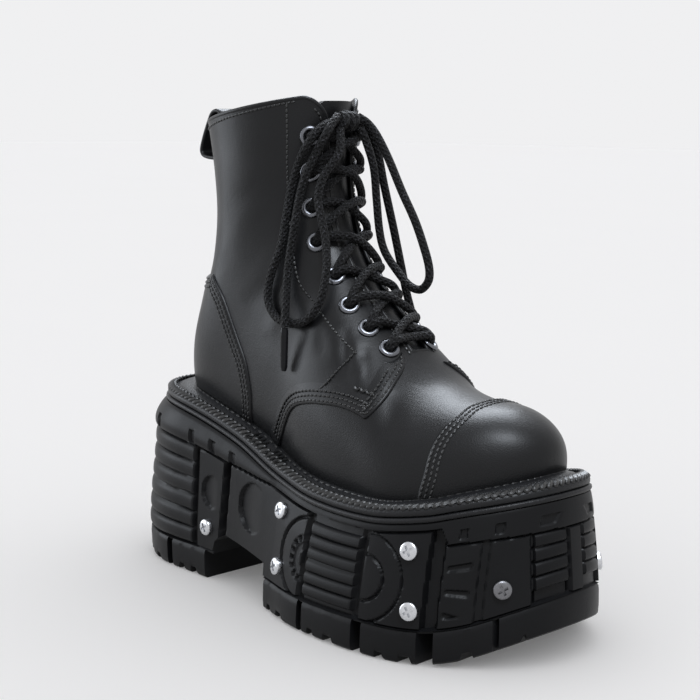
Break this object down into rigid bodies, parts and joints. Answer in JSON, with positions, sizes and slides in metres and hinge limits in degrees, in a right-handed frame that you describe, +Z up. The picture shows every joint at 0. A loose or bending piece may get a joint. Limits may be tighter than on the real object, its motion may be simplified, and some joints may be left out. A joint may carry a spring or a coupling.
{
  "type": "platform boot",
  "caption": "Black leather lace-up ankle boot on a thick moulded platform sole with screwed panels, a stitched storm welt, a side zip and a pull loop.",
  "frame": {"origin": "on the ground under the middle of the heel, on the heel's flat rest face", "axes": "+X towards the toe, +Y towards the inner side of this right foot, +Z up"},
  "size_m": [0.2892, 0.1301, 0.2567],
  "materials": {
    "upper_leather": "semi-gloss smooth",
    "welt_leather": "satin, stitched",
    "insole_leather": "matte",
    "sole_rubber": "satin moulded",
    "lace_cord": "woven, matte",
    "aglet_plastic": "gloss",
    "eyelet_metal": "gunmetal polished",
    "zip_tape": "woven, matte",
    "zip_metal": "black nickel",
    "nickel": "polished",
    "grey_steel": "satin"
  },
  "bodies": {
    "boot": {"platform_sole": "sole_rubber", "midsole": "sole_rubber", "welt": "welt_leather", "insole": "insole_leather", "upper": "upper_leather", "tongue": "upper_leather", "pull_loop": "upper_leather", "eyelet_lateral_1": "eyelet_metal", "eyelet_lateral_2": "eyelet_metal", "eyelet_lateral_3": "eyelet_metal", "eyelet_lateral_4": "eyelet_metal", "eyelet_lateral_5": "eyelet_metal", "eyelet_lateral_6": "eyelet_metal", "eyelet_lateral_7": "eyelet_metal", "eyelet_lateral_8": "eyelet_metal", "eyelet_medial_1": "eyelet_metal", "eyelet_medial_2": "eyelet_metal", "eyelet_medial_3": "eyelet_metal", "eyelet_medial_4": "eyelet_metal", "eyelet_medial_5": "eyelet_metal", "eyelet_medial_6": "eyelet_metal", "eyelet_medial_7": "eyelet_metal", "eyelet_medial_8": "eyelet_metal", "lace_crossings": "lace_cord", "lace_knot": "lace_cord", "lace_loop_lateral": "lace_cord", "lace_loop_medial": "lace_cord", "lace_end_lateral": "lace_cord", "lace_end_medial": "lace_cord", "aglet_lateral": "aglet_plastic", "aglet_medial": "aglet_plastic", "zip": "zip_tape", "zip_slider": "zip_metal", "screw_lateral_heel": "nickel", "screw_lateral_waist_upper": "nickel", "screw_lateral_waist_lower": "nickel", "screw_lateral_ball_upper": "nickel", "screw_lateral_ball_lower": "nickel", "screw_lateral_toe": "grey_steel", "screw_medial_heel": "nickel", "screw_medial_waist_upper": "nickel", "screw_medial_waist_lower": "nickel", "screw_medial_ball_upper": "nickel", "screw_medial_ball_lower": "nickel", "screw_medial_toe": "nickel"},
    "zip_pull_tab": {"zip_pull": "zip_metal"}
  },
  "joints": [
    {"name": "zip_pull_hinge", "type": "hinge", "parent": "boot", "child": "zip_pull_tab", "pos_m": [0.02427, 0.04157, 0.23223], "axis": [0.9676, 0.0684, 0.2429], "range_deg": [0, 150]}
  ]
}
